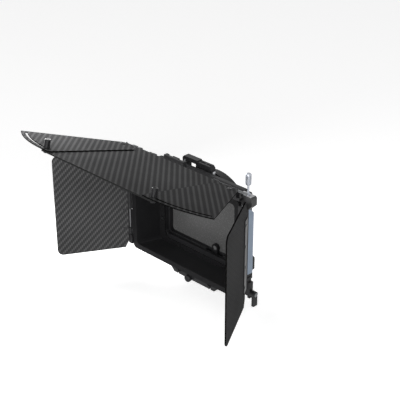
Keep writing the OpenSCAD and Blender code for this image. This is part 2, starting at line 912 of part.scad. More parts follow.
module wing(side) {
    color(carbon_light)
    on_top_plate()
        on_side(side)
            translate([wing_pivots_w / 2, -wing_pivot_s, flag_t / 2])
                difference() {
                    linear_extrude(wing_t)
                        wing_outline();
                    translate([0, 0, -cut])
                        cylinder(r = wing_pivot_r + pin_play, h = wing_t + 2 * cut);
                    wing_slot();
                }
}

module wing_pivot_screws() {
    wing_top = flag_t / 2 + wing_t;
    color(steel)
    on_top_plate()
        for (side = [-1, 1])
            translate([side * wing_pivots_w / 2, -wing_pivot_s, 0]) {
                translate([0, 0, -flag_t / 2 - wing_nut_h])
                    cylinder(r = wing_pivot_r, h = wing_nut_h + wing_top + flag_t / 2 + wing_head_h);
                translate([0, 0, wing_top])
                    cylinder(r = wing_head_r, h = wing_head_h);
                translate([0, 0, -flag_t / 2 - wing_nut_h])
                    cylinder(r = wing_nut_r, h = wing_nut_h, $fn = 6);
            }
}

module wing_studs() {
    color(steel)
    on_top_plate()
        for (side = [-1, 1])
            translate([side * wing_pivots_w / 2, -wing_pivot_s - wing_slot_r,
                       -flag_t / 2 - wing_nut_h]) {
                cylinder(r = wing_nut_r, h = wing_nut_h, $fn = 6);
                cylinder(r = wing_stud_r, h = wing_nut_h + flag_t + wing_t + wing_stud_reach);
            }
}

module wing_knob(side) {
    wing_top = flag_t / 2 + wing_t;
    color(black_anodised)
    on_top_plate()
        translate([side * wing_pivots_w / 2, -wing_pivot_s - wing_slot_r, wing_top + wing_knob_gap])
            difference() {
                ribbed_knob(wing_knob_r, wing_knob_h, wing_knob_ribs, 0.4, 0.8);
                translate([0, 0, -cut])
                    cylinder(r = wing_stud_r + pin_play, h = wing_stud_reach + cut);
            }
}

// Upper and lower bracket that hold one side flag's pin
module flag_brackets(side) {
    color(black_anodised)
    on_side(side)
        for (z = [flag_bracket_z, -flag_bracket_z - bracket_h])
            translate([0, flag_axis_y, z])
                difference() {
                    union() {
                        translate([flag_axis_x, 0, 0])
                            cylinder(r = knuckle_r, h = bracket_h);
                        block([hood_w / 2, -knuckle_r, 0], [flag_axis_x, knuckle_r, bracket_h]);
                    }
                    translate([flag_axis_x, 0, -cut])
                        cylinder(r = pin_r + pin_play, h = bracket_h + 2 * cut);
                }
}

module flag_pins() {
    half = flag_bracket_z + bracket_h;
    color(steel)
    for (side = [-1, 1])
        translate([side * flag_axis_x, flag_axis_y, 0]) {
            translate([0, 0, -half])
                cylinder(r = pin_r, h = 2 * half);
            translate([0, 0, half])
                cylinder(r = flag_pin_head_r, h = flag_pin_head_h);
        }
}

// Puts its children in the right flag's frame: origin on the hinge axis, -Y along the flag,
// +X to its outer face
module in_side_flag(side) {
    on_side(side)
        translate([flag_axis_x, flag_axis_y, 0])
            rotate([0, 0, side_flare])
                children();
}

// Outline of a side flag in its length and height, its hinge corners cut off
module side_flag_outline() {
    len = side_flag_len;
    h = side_flag_h / 2;
    r = side_corner_r;
    c = hinge_chamfer;
    union() {
        polygon([[side_plate_start, -h + c], [side_plate_start + c / 2, -h], [len - r, -h],
                 [len - r, h], [side_plate_start + c / 2, h], [side_plate_start, h - c]]);
        translate([len - 2 * r, -h + r])
            square([2 * r, 2 * h - 2 * r]);
        for (z = [-1, 1])
            translate([len - r, z * (h - r)])
                circle(r);
    }
}

module side_flag(side) {
    color(side < 0 ? carbon : black_plastic)
    in_side_flag(side)
        translate([flag_offset - flag_t / 2, 0, 0])
            rotate([0, 0, -90])
                rotate([90, 0, 0])
                    translate([0, 0, -flag_t])
                        linear_extrude(flag_t)
                            side_flag_outline();
}

module flag_leaf(side) {
    face = flag_offset + flag_t / 2;
    color(black_anodised)
    in_side_flag(side)
        difference() {
            union() {
                for (k = flag_knuckles)
                    translate([0, 0, k[0]])
                        cylinder(r = knuckle_r, h = k[1] - k[0]);
                block([flag_web_in, -flag_web_t, -flag_leaf_half], [flag_web_out, 0, flag_leaf_half]);
                block([face, -flag_leaf_len, -flag_leaf_half], [face + flag_leaf_t, -1, flag_leaf_half]);
            }
            translate([0, 0, -flag_leaf_half - cut])
                cylinder(r = pin_r + pin_play, h = 2 * (flag_leaf_half + cut));
        }
}

module leaf_rivets(side) {
    inner = flag_offset - flag_t / 2;
    outer = flag_offset + flag_t / 2 + flag_leaf_t;
    color(steel)
    in_side_flag(side)
        for (i = [0 : rivet_count - 1]) {
            z = (2 * i / (rivet_count - 1) - 1) * (flag_leaf_half - rivet_inset);
            rod_x(rivet_tail_r, -rivet_back, z, inner - rivet_tail_h, inner);
            rod_x(rivet_r, -rivet_back, z, outer, outer + rivet_h);
        }
}

// Fixed ear under the stage's right corner that holds the swing pin
module swing_ear() {
    color(black_anodised)
    difference() {
        union() {
            block([swing_x - 14, slot_front, ear_bottom], [stage_w / 2, rear_front, ear_top]);
            translate([swing_x, swing_y, ear_bottom])
                cylinder(r = swing_r, h = ear_t);
            block([swing_x - swing_r, min(swing_y, slot_front), ear_bottom],
                  [swing_x + swing_r, max(swing_y, slot_front), ear_top]);
        }
        translate([swing_x, swing_y, ear_bottom - cut])
            cylinder(r = swing_pin_r + pin_play, h = ear_t + 2 * cut);
    }
}

module swing_pin() {
    color(steel)
    translate([swing_x, swing_y, arm_eye_bottom])
        cylinder(r = swing_pin_r, h = ear_top - arm_eye_bottom);
}

// Arm behind the rod clamp that reaches out to the swing pin
module swing_arm() {
    y0 = clamp_rear;
    y1 = clamp_rear + arm_t;
    color(black_anodised)
    difference() {
        union() {
            block([-clamp_w / 2, y0, arm_bottom], [lever_plate_x - lever_plate_t, y1, arm_top]);
            translate([swing_x, swing_y, arm_eye_bottom])
                cylinder(r = swing_r, h = arm_eye_top - arm_eye_bottom);
            block([lever_plate_x - lever_plate_t, y0, lever_z - lever_plate_half],
                  [lever_plate_x, y1, arm_top]);
        }
        for (side = [-1, 1])
            rod_y(rod_r + arm_rod_play, side * rod_spacing / 2, -rod_drop, y0 - cut, y1 + cut);
        translate([swing_x, swing_y, arm_eye_bottom - cut])
            cylinder(r = swing_pin_r + pin_play, h = arm_eye_top - arm_eye_bottom + 2 * cut);
        rod_x(lever_screw_r + pin_play, lever_y, lever_z, lever_plate_x - lever_plate_t - cut,
              lever_plate_x + cut);
        block([-clamp_pocket_w / 2, y0 - cut, -rod_drop - clamp_pocket_h / 2],
              [clamp_pocket_w / 2, y1 + cut, -rod_drop + clamp_pocket_h / 2]);
    }
}

// Clamp block with two split bores for the rods and an open window between them
module rod_clamp() {
    half = clamp_w / 2;
    c = clamp_chamfer;
    color(black_anodised)
    difference() {
        translate([0, clamp_rear, 0])
            rotate([90, 0, 0])
                linear_extrude(rod_clamp_len)
                    polygon([[-half + c, clamp_bottom], [half - c, clamp_bottom],
                             [half, clamp_bottom + c], [half, clamp_top - c / 2],
                             [half - c / 2, clamp_top], [-half + c / 2, clamp_top],
                             [-half, clamp_top - c / 2], [-half, clamp_bottom + c]]);
        for (side = [-1, 1])
            on_side(side) {
                rod_y(rod_r, rod_spacing / 2, -rod_drop, clamp_front - cut, clamp_rear + cut, $fn = 96);
                block([rod_spacing / 2 + 1, clamp_front - cut, clamp_bottom - cut],
                      [rod_spacing / 2 + 1 + clamp_slit, clamp_rear + cut, -rod_drop]);
            }
        block([-clamp_pocket_w / 2, clamp_front - cut, -rod_drop - clamp_pocket_h / 2],
              [clamp_pocket_w / 2, clamp_rear + cut, -rod_drop + clamp_pocket_h / 2]);
        rod_y(knob_bore_r, knob_x, knob_z, clamp_front - cut, clamp_front + 8);
    }
}

module rod_lock_knob() {
    color(black_anodised)
    translate([knob_x, clamp_front - knob_gap, knob_z])
        rotate([90, 0, 0]) {
            ribbed_knob(knob_r, knob_h, knob_ribs, 0.5, 0.6);
            translate([0, 0, -6])
                cylinder(r = knob_bore_r - pin_play, h = 7);
        }
}

module lever_screw() {
    cap = lever_x1 + lever_cap_gap;
    color(steel) {
        rod_x(lever_screw_r, lever_y, lever_z, lever_plate_x - lever_plate_t, cap);
        rod_x(lever_cap_r, lever_y, lever_z, cap, cap + lever_cap_h);
    }
}

// Clamp lever: a hub on the screw with a flat grip that hangs down
module lock_lever() {
    color(black_anodised)
    difference() {
        union() {
            rod_x(lever_hub_r, lever_y, lever_z, lever_x0, lever_x1);
            block([lever_x1 - lever_t, lever_y - lever_w / 2, lever_z - lever_len],
                  [lever_x1, lever_y + lever_w / 2, lever_z]);
        }
        rod_x(lever_screw_r + pin_play, lever_y, lever_z, lever_x0 - cut, lever_x1 + cut);
    }
}

hood_shell();
hood_screws();
front_mask();
tray_rail(-1);  // tray_rail_left
tray_rail(1);  // tray_rail_right
stage_floor();
rear_plate();
seal_ring();
lens_ring();
ring_screws();
ring_clamp_screw();
filter_tray();
filter_glass();
filter_lock();
filter_lock_screw();
tray_handle();
handle_screws();
tray_latch();
top_hinge_base();
top_hinge_pins();
hinge_end_block(-1);  // hinge_end_block_left
hinge_end_block(1);  // hinge_end_block_right
release_plunger();
top_flag_plate();
top_flag_leaf();
wing(-1);  // wing_left
wing(1);  // wing_right
wing_pivot_screws();
wing_studs();
wing_knob(-1);  // wing_knob_left
wing_knob(1);  // wing_knob_right
flag_brackets(-1);  // flag_brackets_left
flag_brackets(1);  // flag_brackets_right
flag_pins();
side_flag(-1);  // side_flag_left
side_flag(1);  // side_flag_right
flag_leaf(-1);  // flag_leaf_left
flag_leaf(1);  // flag_leaf_right
leaf_rivets(-1);  // leaf_rivets_left
leaf_rivets(1);  // leaf_rivets_right
swing_ear();
swing_pin();
swing_arm();
rod_clamp();
rod_lock_knob();
lever_screw();
lock_lever();
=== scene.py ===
import json
import math

import bmesh
import bpy
from mathutils import Euler, Matrix, Vector


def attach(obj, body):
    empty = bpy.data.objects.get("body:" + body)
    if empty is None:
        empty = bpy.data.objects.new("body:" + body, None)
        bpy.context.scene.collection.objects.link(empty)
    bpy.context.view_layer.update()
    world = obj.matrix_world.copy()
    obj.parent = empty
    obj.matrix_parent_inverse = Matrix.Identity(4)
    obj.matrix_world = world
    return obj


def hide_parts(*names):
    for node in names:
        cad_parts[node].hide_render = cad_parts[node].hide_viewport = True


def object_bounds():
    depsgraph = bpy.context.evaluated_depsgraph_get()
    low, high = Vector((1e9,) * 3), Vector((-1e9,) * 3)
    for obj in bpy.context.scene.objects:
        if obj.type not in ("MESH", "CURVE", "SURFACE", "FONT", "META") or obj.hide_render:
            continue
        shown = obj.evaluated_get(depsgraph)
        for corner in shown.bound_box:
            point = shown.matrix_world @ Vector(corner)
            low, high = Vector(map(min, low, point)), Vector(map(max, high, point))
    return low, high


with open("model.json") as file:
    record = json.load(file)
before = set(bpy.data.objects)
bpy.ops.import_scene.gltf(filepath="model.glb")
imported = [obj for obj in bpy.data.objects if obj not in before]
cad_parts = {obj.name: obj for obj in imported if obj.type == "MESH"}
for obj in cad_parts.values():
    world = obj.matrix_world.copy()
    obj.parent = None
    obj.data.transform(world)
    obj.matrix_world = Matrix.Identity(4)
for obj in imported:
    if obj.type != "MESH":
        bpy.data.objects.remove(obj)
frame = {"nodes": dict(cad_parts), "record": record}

cad_low, cad_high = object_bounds()

bl_info = {
    "name": "Matte Box Looks",
    "version": (1, 0, 0),
    "blender": (4, 5, 0),
    "location": "3D View > Sidebar > Matte Box",
    "description": "Dresses a packed matte box with its materials, edges, knobs and studio",
    "category": "Object",
}

MM = 0.001
RIGHT_ANGLE = math.radians(90)
SIDES = ((-1, "left"), (1, "right"))
BODY_OF = {node: body for body, nodes in frame["record"]["behaviour"]["bodies"].items()
           for node in nodes}
SLOT_OF = {part["node"]: part["material_slot"] for part in frame["record"]["subparts"]}

# Distances, in metres, within which a face or an edge counts as on a height, and two
# corners of a CAD mesh count as one
FACE_REACH = 1e-5
EDGE_REACH = 1e-6
MERGE_REACH = 0.000002

# Faces that meet below the flat angle become one, edges above the sharp angle are broken,
# and edges above the smooth or knurl angle stay sharp in the shading
FLAT_ANGLE = math.radians(0.5)
SHARP_ANGLE = math.radians(30)
SMOOTH_ANGLE = math.radians(35)
KNURL_ANGLE = math.radians(28)

# Most of a noise's values lie in this span
NOISE_SPAN = (0.3, 0.7)

# The top flag turns about the hinge, and its plate's middle lies a little above the axis
HINGE = Vector((0, -0.0679, 0.0864))
FLAG_TILT = math.radians(-14.4)
FLAG_FRAME = Matrix.Translation(HINGE) @ Matrix.Rotation(FLAG_TILT, 4, "X")
PLATE_FRAME = FLAG_FRAME @ Matrix.Translation((0, 0, 0.0014))

# Each fan wing turns on a screw at the plate's rear corner, and its knob stands near the front
WING_X = 0.1013
WING_PIVOT_Y = -0.019
WING_KNOB_Y = -0.151
PIVOT_SCREW_FOOT = 0.0026
WING_KNOB_FOOT = 0.0027
FAN_TURN = math.radians(2)
SLIDING_GAP = 0.00004

SIDE_FLARE = math.radians(30)
SIDE_AXIS = Vector((0.1097, -0.06835, 0))

CARBON_EDGE = 0.0003
ROD_KNOB_PLACE = (-0.009, -0.0487, -0.0945)
RING_SCREW_PLACE = (-0.067, -0.005, 0)
PLUNGER_PLACE = (0.1082, -0.0575, 0.074)
LOCK_PAD_PLACE = (0.018, -0.0244, -0.0453)

# Radius and height, in millimetres, at each corner of the turned pieces
FAN_KNOB = ((3.4, 0), (3.9, 0.5), (3.9, 11.2), (3.4, 12), (2.5, 12), (2.1, 11.4))
ROD_KNOB = ((1.6, -6), (1.95, -5.6), (1.95, 0), (4.9, 0), (5.5, 0.5), (5.5, 4.3), (4.9, 5),
            (3.6, 5), (3.2, 4.4))
RING_SCREW = ((1.6, -9.2), (2, -8.8), (2, 7.5), (4.1, 7.5), (4.6, 8), (4.6, 15), (4.1, 15.5),
              (2.9, 15.5), (2.6, 14.9))
PLUNGER = ((1.4, 0), (1.4, 6.1), (3, 6.1), (3, 7.7), (1.4, 7.7), (1.4, 19.5), (2.6, 19.9),
           (3.4, 20.6), (3.9, 21.6), (3.9, 33.6), (3.6, 34.9), (2.9, 35.9), (1.6, 36.4),
           (0.5, 36.5))
LOCK_PAD = ((3.2, 0), (3.2, 0.4), (2.8, 0.6), (2.2, 0.7))


class MatteBoxLooks(bpy.types.PropertyGroup):
    """Colours and sizes of the finishes."""

    carbon_dark: bpy.props.FloatVectorProperty(
        name="Carbon, dark tows", description="Colour of the tows that run away from the light",
        subtype="COLOR", size=3, min=0, max=1, default=(0.048, 0.048, 0.049))
    carbon_light: bpy.props.FloatVectorProperty(
        name="Carbon, light tows", description="Colour of the tows that catch the light",
        subtype="COLOR", size=3, min=0, max=1, default=(0.092, 0.092, 0.093))
    carbon_gloss: bpy.props.FloatProperty(
        name="Carbon gloss", description="Specular level of the carbon's matte resin",
        min=0, max=1, default=0.001)
    tow_width: bpy.props.FloatProperty(
        name="Tow width", description="Width of one carbon tow",
        unit="LENGTH", min=0.0005, max=0.006, precision=4, default=0.0025)
    anodised_colour: bpy.props.FloatVectorProperty(
        name="Anodised metal", description="Colour of the black anodised metal",
        subtype="COLOR", size=3, min=0, max=1, default=(0.012, 0.012, 0.013))
    composite_colour: bpy.props.FloatVectorProperty(
        name="Hood composite", description="Colour of the matte moulded hood",
        subtype="COLOR", size=3, min=0, max=1, default=(0.007, 0.007, 0.0075))
    rail_colour: bpy.props.FloatVectorProperty(
        name="Side rails", description="Colour of the blue-grey anodised rails",
        subtype="COLOR", size=3, min=0, max=1, default=(0.22, 0.27, 0.34))
    filter_colour: bpy.props.FloatVectorProperty(
        name="Filter", description="Tint of the neutral grey filter",
        subtype="COLOR", size=3, min=0, max=1, default=(0.072, 0.072, 0.072))
    edge_width: bpy.props.FloatProperty(
        name="Edge rounding", description="Width of the broken edges of machined pieces",
        unit="LENGTH", min=0.0001, max=0.001, precision=5, default=0.0003)


class MatteBoxStudio(bpy.types.PropertyGroup):
    """Camera, light and floor."""

    focal_length: bpy.props.FloatProperty(
        name="Focal length", description="Focal length on a 36 mm sensor, in millimetres",
        min=20, max=300, default=94.56)
    azimuth: bpy.props.FloatProperty(
        name="Camera azimuth", description="Turn of the camera round the object",
        subtype="ANGLE", default=math.radians(45.10))
    elevation: bpy.props.FloatProperty(
        name="Camera elevation", description="Height of the camera above level",
        subtype="ANGLE", default=math.radians(26.37))
    camera_place: bpy.props.FloatVectorProperty(
        name="Camera place", description="Where the camera stands",
        subtype="TRANSLATION", size=3, precision=5, default=(0.91492, -0.94785, 0.66740))
    sky_level: bpy.props.FloatProperty(
        name="Sky level", description="Brightness of the even light from all sides",
        min=0, max=2, default=0.30)
    lamp_level: bpy.props.FloatProperty(
        name="Lamp level", description="Factor on the power of every lamp",
        min=0, max=4, default=1.0)
    floor_gap: bpy.props.FloatProperty(
        name="Floor gap", description="Gap between the lowest point and the floor",
        unit="LENGTH", min=0, max=0.05, precision=4, default=0.0005)


# Selecting and finishing pieces

def clear_selection():
    if bpy.context.object and bpy.context.object.mode != "OBJECT":
        bpy.ops.object.mode_set(mode="OBJECT")
    bpy.ops.object.select_all(action="DESELECT")


def make_active(piece, *others):
    """Selects a piece, and others with it, and makes the piece the active one."""
    clear_selection()
    for each in (piece, *others):
        each.select_set(True)
    bpy.context.view_layer.objects.active = piece


def edit(piece, mode="FACE"):
    make_active(piece)
    bpy.ops.object.mode_set(mode="EDIT")
    bpy.ops.mesh.select_mode(type=mode)
    bpy.ops.mesh.select_all(action="DESELECT")


def leave_edit():
    bpy.ops.object.mode_set(mode="OBJECT")


def pick_faces(piece, test):
    """Selects, in edit mode, the faces whose centre and normal pass the test."""
    bpy.ops.mesh.select_all(action="DESELECT")
    mesh = bmesh.from_edit_mesh(piece.data)
    for face in mesh.faces:
        if test(face.calc_center_median(), face.normal):
            face.select_set(True)
    bmesh.update_edit_mesh(piece.data)


def pick_edges(piece, test):
    """Selects, in edit mode, the edges whose two ends pass the test."""
    bpy.ops.mesh.select_all(action="DESELECT")
    mesh = bmesh.from_edit_mesh(piece.data)
    for edge in mesh.edges:
        if test(edge.verts[0].co, edge.verts[1].co):
            edge.select_set(True)
    bmesh.update_edit_mesh(piece.data)


def apply_modifiers(piece):
    make_active(piece)
    for modifier in list(piece.modifiers):
        bpy.ops.object.modifier_apply(modifier=modifier.name)


def smooth(piece, angle=SMOOTH_ANGLE):
    make_active(piece)
    bpy.ops.object.shade_smooth_by_angle(angle=angle)


def soften(piece, width):
    """Breaks the sharp edges of a piece and shades its round faces smooth."""
    bevel = piece.modifiers.new("Broken edges", "BEVEL")
    bevel.width = width
    bevel.segments = 2
    bevel.limit_method = "ANGLE"
    bevel.angle_limit = SHARP_ANGLE
    bevel.use_clamp_overlap = True
    bevel.harden_normals = False
    apply_modifiers(piece)
    smooth(piece)
    piece.modifiers.new("Flat faces stay flat", "WEIGHTED_NORMAL").keep_sharp = True
    apply_modifiers(piece)


def settle(piece, place=None):
    """Puts a finished piece's place into its mesh."""
    make_active(piece)
    bpy.ops.object.transform_apply(location=True, rotation=True, scale=True)
    if place is not None:
        piece.matrix_world = place
        bpy.ops.object.transform_apply(location=True, rotation=True, scale=True)


def dress(piece, material):
    piece.data.materials.clear()
    piece.data.materials.append(material)


def mount(piece, body, slot, material, *nodes):
    """Gives a settled piece its body and material, and hides the nodes it stands for. The slot
    is not used.
    """
    dress(piece, material)
    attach(piece, body)
    if nodes:
        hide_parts(*nodes)
    return piece


# Modelling pieces

def softened_copy(node, name, material, width):
    """A copy of a CAD node with merged faces and broken edges, which stands for the node."""
    clear_selection()
    mesh = frame["nodes"][node].data.copy()
    piece = bpy.data.objects.new(name, mesh)
    bpy.context.scene.collection.objects.link(piece)
    edit(piece, "VERT")
    bpy.ops.mesh.select_all(action="SELECT")
    bpy.ops.mesh.remove_doubles(threshold=MERGE_REACH)
    bpy.ops.mesh.customdata_custom_splitnormals_clear()
    bpy.ops.mesh.dissolve_limited(angle_limit=FLAT_ANGLE)
    leave_edit()
    soften(piece, width)
    return mount(piece, BODY_OF[node], SLOT_OF[node], material, node)


def turned(name, radius, length, sides):
    """A cylinder from the origin up along +Z, to be shaped further."""
    clear_selection()
    bpy.ops.mesh.primitive_cylinder_add(vertices=sides, radius=radius, depth=length,
                                        location=(0, 0, length / 2))
    piece = bpy.context.active_object
    piece.name = name
    settle(piece)
    return piece


def pick_end(piece, height, facing):
    """Selects the level faces at a height that look up, for 1, or down, for -1."""
    pick_faces(piece, lambda centre, normal: abs(centre.z - height) < FACE_REACH
               and normal.z * facing > 0.9)


def bevel_rim(piece, height, width, segments):
    """Rounds the outer edge loop at a height."""
    pick_edges(piece, lambda a, b: abs(a.z - height) < EDGE_REACH
               and abs(b.z - height) < EDGE_REACH)
    bpy.ops.mesh.bevel(offset=width, segments=segments, affect="EDGES")


def widen(factor, height=0):
    """Scales what is selected about the turning axis."""
    bpy.ops.transform.resize(value=(factor, factor, 1), center_override=(0, 0, height))


def extrude(rise):
    """Extrudes what is selected along +Z."""
    bpy.ops.mesh.extrude_region_move(TRANSFORM_OT_translate={"value": (0, 0, rise)})


def flute_sides(piece, count, low, high, width, depth):
    """Sinks a groove into every other side face between two heights."""
    def is_groove(centre, normal):
        turn = math.atan2(centre.y, centre.x) / (2 * math.pi) * 2 * count
        return abs(normal.z) < 0.1 and low < centre.z < high and round(turn - 0.5) % 2 == 0
    pick_faces(piece, is_groove)
    radius = max(vertex.co.xy.length for vertex in bmesh.from_edit_mesh(piece.data).verts
                 if vertex.select)
    bpy.ops.mesh.inset(thickness=width, use_individual=True)
    widen(1 - depth / radius, (low + high) / 2)


def turned_profile(name, sides, profile):
    """A turned piece along +Z; the profile lists its radius and height at each corner, in mm."""
    (first_radius, low), (radius, high), *corners = [(r * MM, h * MM) for r, h in profile]
    piece = turned(name, first_radius, high - low, sides)
    piece.location.z = low
    settle(piece)
    edit(piece)
    pick_end(piece, high, 1)
    widen(radius / first_radius)
    for next_radius, height in corners:
        extrude(height - high)
        widen(next_radius / radius)
        radius, high = next_radius, height
    leave_edit()
    return piece


def knurled(name, profile, ribs, low, high, depth):
    """A turned piece with straight knurling between two heights, in mm."""
    piece = turned_profile(name, 2 * ribs, profile)
    edit(piece)
    flute_sides(piece, ribs, low * MM, high * MM, depth / 4, depth)
    leave_edit()
    smooth(piece, KNURL_ANGLE)
    return piece


def copies_at(piece, name, places):
    """Copies a piece to each place, each with its own mesh, and joins the copies into one."""
    copies = []
    for place in places:
        copy = piece.copy()
        copy.data = piece.data.copy()
        bpy.context.scene.collection.objects.link(copy)
        copy.matrix_world = place
        copies.append(copy)
    bpy.data.objects.remove(piece, do_unlink=True)
    make_active(*copies)
    bpy.ops.object.transform_apply(location=True, rotation=True, scale=True)
    bpy.ops.object.join()
    copies[0].name = name
    return copies[0]


def hinge_seal(name, side, material):
    """Narrow fin on the hood's edge that closes the gap beside a hinge pin's bare stretch."""
    near, far = 103.8 * MM, 107.6 * MM
    front, rear = -69.4 * MM, -68.0 * MM
    low, high = -43.4 * MM, -13.2 * MM
    clear_selection()
    bpy.ops.mesh.primitive_cube_add(
        size=1, location=(side * (near + far) / 2, (front + rear) / 2, (low + high) / 2),
        scale=(far - near, rear - front, high - low))
    fin = bpy.context.active_object
    fin.name = name
    settle(fin)
    edit(fin)
    pick_edges(fin, lambda a, b: min(side * a.x, side * b.x) > far - EDGE_REACH
               and abs(a.z - b.z) < EDGE_REACH)
    bpy.ops.mesh.bevel(offset=0.4 * MM, segments=3, affect="EDGES")
    leave_edit()
    soften(fin, 0.15 * MM)
    mount(fin, "housing", "black_plastic", material)


def socket_screw(name, head_radius, head_height, socket_radius, shank_radius, shank_length):
    """Button-head screw with a hexagon socket, its head above the origin, its shank below."""
    screw = turned(name, head_radius, head_height, 32)
    edit(screw)
    pick_end(screw, 0, -1)
    bpy.ops.mesh.inset(thickness=head_radius - shank_radius)
    extrude(-shank_length)
    bevel_rim(screw, head_height, width=head_height * 0.45, segments=4)
    leave_edit()
    clear_selection()
    # the hexagon key's middle stands just under the head's top, so it sinks in half its length
    bpy.ops.mesh.primitive_cylinder_add(vertices=6, radius=socket_radius, depth=head_height,
                                        location=(0, 0, head_height * 0.95))
    key = bpy.context.active_object
    cut = screw.modifiers.new("Socket", "BOOLEAN")
    cut.operation = "DIFFERENCE"
    cut.solver = "EXACT"
    cut.object = key
    apply_modifiers(screw)
    bpy.data.objects.remove(key, do_unlink=True)
    smooth(screw)
    return screw


def on_wing(side, along, height):
    """Place over a fan wing, from the plate's hinge and its middle."""
    return PLATE_FRAME @ Matrix.Translation((side * WING_X, along, height))


# Node helpers

def link(tree, source, target):
    tree.links.new(source, target)


def feed(tree, socket, value):
    """Links a socket to another node, or sets it to a number, a direction or a colour."""
    if isinstance(value, bpy.types.NodeSocket):
        link(tree, value, socket)
    elif socket.type == "RGBA":
        socket.default_value = (*value[:3], 1)
    else:
        socket.default_value = value


def add_node(tree, kind, **values):
    node = tree.nodes.new(kind)
    for key, value in values.items():
        setattr(node, key, value)
    return node


def math_node(tree, operation, first, second=None, clamp=False):
    node = add_node(tree, "ShaderNodeMath", operation=operation, use_clamp=clamp)
    feed(tree, node.inputs[0], first)
    if second is not None:
        feed(tree, node.inputs[1], second)
    return node.outputs[0]


def mix_colour(tree, factor, first, second, blend="MIX"):
    node = add_node(tree, "ShaderNodeMix", data_type="RGBA", blend_type=blend)
    for index, value in ((0, factor), (6, first), (7, second)):
        feed(tree, node.inputs[index], value)
    return node.outputs[2]


def map_range(tree, value, low, high, to_low, to_high):
    node = add_node(tree, "ShaderNodeMapRange", clamp=True)
    for key, number in (("Value", value), ("From Min", low), ("From Max", high),
                        ("To Min", to_low), ("To Max", to_high)):
        feed(tree, node.inputs[key], number)
    return node.outputs["Result"]


def noise_node(tree, vector, scale, detail):
    """The value of a noise at a place."""
    node = add_node(tree, "ShaderNodeTexNoise")
    for key, value in (("Vector", vector), ("Scale", scale), ("Detail", detail)):
        feed(tree, node.inputs[key], value)
    return node.outputs[0]


def shade_colour(tree, value):
    combine = add_node(tree, "ShaderNodeCombineColor")
    for socket in combine.inputs:
        link(tree, value, socket)
    return combine.outputs[0]


def cosine_mask(tree, first, second, low, high):
    """Rises from 0 to 1 as the cosine between two directions goes from low to high."""
    cosine = add_node(tree, "ShaderNodeVectorMath", operation="DOT_PRODUCT")
    feed(tree, cosine.inputs[0], first)
    feed(tree, cosine.inputs[1], second)
    return map_range(tree, cosine.outputs["Value"], low, high, 0.0, 1.0)


# Node groups

def new_group(name, inputs, outputs):
    """A shader node group with its sockets; inputs are (name, kind, default)."""
    group = bpy.data.node_groups.new(name, "ShaderNodeTree")
    for label, kind, default in inputs:
        socket = group.interface.new_socket(name=label, in_out="INPUT", socket_type=kind)
        if default is not None:
            socket.default_value = default
    for label, kind in outputs:
        group.interface.new_socket(name=label, in_out="OUTPUT", socket_type=kind)
    return group, group.nodes.new("NodeGroupInput"), group.nodes.new("NodeGroupOutput")


def twill_group():
    """Two-by-two twill: which tow is on top, its rounded height, its shade along the float."""
    group, take, give = new_group(
        "Twill Weave",
        [("Vector", "NodeSocketVector", None), ("Tow Width", "NodeSocketFloat", 0.002)],
        [("Lengthwise", "NodeSocketFloat"), ("Height", "NodeSocketFloat"),
         ("Shade", "NodeSocketFloat")])
    split = add_node(group, "ShaderNodeSeparateXYZ")
    link(group, take.outputs["Vector"], split.inputs[0])
    across = math_node(group, "DIVIDE", split.outputs["X"], take.outputs["Tow Width"])
    along = math_node(group, "DIVIDE", split.outputs["Y"], take.outputs["Tow Width"])
    column = math_node(group, "FLOOR", across)
    row = math_node(group, "FLOOR", along)
    step = math_node(group, "FLOORED_MODULO", math_node(group, "ADD", column, row), 4.0)
    lengthwise = math_node(group, "LESS_THAN", step, 1.5)
    part_across = math_node(group, "FRACT", across)
    part_along = math_node(group, "FRACT", along)

    def tow_height(over, onward):
        """Rounded over the tow's width, and rising and falling along its float of two cells."""
        rounded = math_node(group, "SINE", math_node(group, "MULTIPLY", over, math.pi))
        cell = math_node(group, "FLOORED_MODULO", step, 2.0)
        run = math_node(group, "MULTIPLY", math_node(group, "ADD", onward, cell), math.pi / 2)
        return math_node(group, "MULTIPLY", rounded, math_node(group, "SINE", run))

    chosen = add_node(group, "ShaderNodeMix", data_type="FLOAT")
    link(group, lengthwise, chosen.inputs[0])
    link(group, tow_height(part_along, part_across), chosen.inputs[2])
    link(group, tow_height(part_across, part_along), chosen.inputs[3])
    link(group, lengthwise, give.inputs["Lengthwise"])
    link(group, chosen.outputs[0], give.inputs["Height"])
    link(group, math_node(group, "POWER", chosen.outputs[0], 0.5), give.inputs["Shade"])
    return group


def grain_group():
    """Fine blasted or moulded grain, and soft clouds for what is uneven."""
    group, take, give = new_group(
        "Fine Grain",
        [("Vector", "NodeSocketVector", None), ("Scale", "NodeSocketFloat", 2500.0),
         ("Cloud Scale", "NodeSocketFloat", 60.0)],
        [("Grain", "NodeSocketFloat"), ("Cloud", "NodeSocketFloat")])
    for label, scale, detail in (("Grain", "Scale", 2), ("Cloud", "Cloud Scale", 4)):
        noise = noise_node(group, take.outputs["Vector"], take.outputs[scale], detail)
        link(group, noise, give.inputs[label])
    return group


